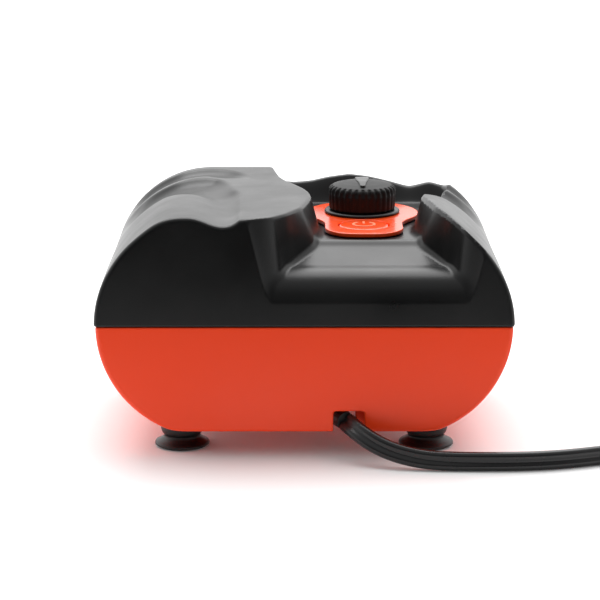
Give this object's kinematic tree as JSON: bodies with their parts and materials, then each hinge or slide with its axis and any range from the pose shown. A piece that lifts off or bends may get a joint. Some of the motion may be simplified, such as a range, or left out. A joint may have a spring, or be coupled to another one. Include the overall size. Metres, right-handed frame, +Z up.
{
  "type": "aquarium air pump",
  "caption": "Low rounded two-colour aquarium air pump with flow knob, push button, air outlets, rubber feet and a mains cord.",
  "frame": {"origin": "on the surface the pump stands on, under the middle of the pump without its cord", "axes": "+Z up, -Y the side with the cord and controls, +Y the air outlets, +X to the right seen from the cord side"},
  "size_m": [0.282, 0.1412, 0.0891],
  "materials": {
    "black_shell": "satin moulded",
    "orange_shell": "satin moulded",
    "orange_panel": "gloss",
    "black_knob": "satin",
    "black_rubber": "matt",
    "cord": "satin",
    "grey_plastic": "matt",
    "white_plastic": "matt",
    "steel": "zinc plated",
    "core_steel": "lacquered laminations",
    "brass": "plain",
    "copper": "enamelled wire",
    "magnet": "matt",
    "circuit_board": "satin",
    "felt": "felt",
    "silicone": "translucent"
  },
  "bodies": {
    "housing": {"air_chamber_left": "white_plastic", "air_chamber_right": "white_plastic", "air_tube_left": "silicone", "air_tube_right": "silicone", "board_capacitor": "grey_plastic", "coil_bobbin": "white_plastic", "coil_lead": "copper", "coil_winding": "copper", "control_board": "circuit_board", "control_panel": "orange_panel", "cord_coil": "cord", "cord_tail": "cord", "cord_tie": "black_rubber", "core_end_bar": "core_steel", "diaphragm_left": "black_rubber", "diaphragm_right": "black_rubber", "filter_cover": "orange_shell", "filter_felt": "felt", "foot_front_left": "black_rubber", "foot_front_right": "black_rubber", "foot_rear_left": "black_rubber", "foot_rear_right": "black_rubber", "knob_bezel": "black_knob", "lower_shell": "orange_shell", "motor_core": "core_steel", "outlet_nozzle_left": "black_knob", "outlet_nozzle_right": "black_knob", "pivot_pin_left": "steel", "pivot_pin_right": "steel", "plug_blade_left": "brass", "plug_blade_right": "brass", "potentiometer": "grey_plastic", "power_cord": "cord", "power_plug": "cord", "power_switch": "grey_plastic", "screw_front_left": "steel", "screw_front_right": "steel", "screw_rear_left": "steel", "screw_rear_right": "steel", "strain_relief": "black_rubber", "supply_lead": "cord", "upper_shell": "black_shell", "valve_flap_left": "black_rubber", "valve_flap_right": "black_rubber", "valve_plate_left": "grey_plastic", "valve_plate_right": "grey_plastic", "vibration_mount_front_left": "black_rubber", "vibration_mount_front_right": "black_rubber", "vibration_mount_rear_left": "black_rubber", "vibration_mount_rear_right": "black_rubber", "vibrator_tray": "grey_plastic"},
    "knob": {"control_knob": "black_knob", "knob_shaft": "steel"},
    "button": {"power_button": "orange_panel", "switch_plunger": "white_plastic"},
    "arm_left": {"swing_arm_left": "steel", "magnet_left": "magnet"},
    "arm_right": {"swing_arm_right": "steel", "magnet_right": "magnet"}
  },
  "joints": [
    {"name": "knob_turn", "type": "hinge", "parent": "housing", "child": "knob", "pos_m": [0.0224, 0.009, 0.0785], "axis": [0, 0, 1], "range_deg": [-270, 0]},
    {"name": "power_button_press", "type": "slide", "parent": "housing", "child": "button", "axis": [0, 0, -1], "range_m": [0, 0.001], "stiffness_N_per_m": 800, "springref_m": -0.0005},
    {"name": "arm_left_swing", "type": "hinge", "parent": "housing", "child": "arm_left", "pos_m": [-0.0585, -0.005, 0.0486], "axis": [0, 1, 0], "range_deg": [-1.5, 1.5], "stiffness_Nm_per_rad": 0.8, "deforming": ["diaphragm_left"]},
    {"name": "arm_right_swing", "type": "hinge", "parent": "housing", "child": "arm_right", "pos_m": [0.0585, -0.005, 0.0486], "axis": [0, 1, 0], "range_deg": [-1.5, 1.5], "stiffness_Nm_per_rad": 0.8, "deforming": ["diaphragm_right"]}
  ],
  "couplings": [
    {"joint": "arm_right_swing", "follows": "arm_left_swing", "ratio": -1}
  ]
}
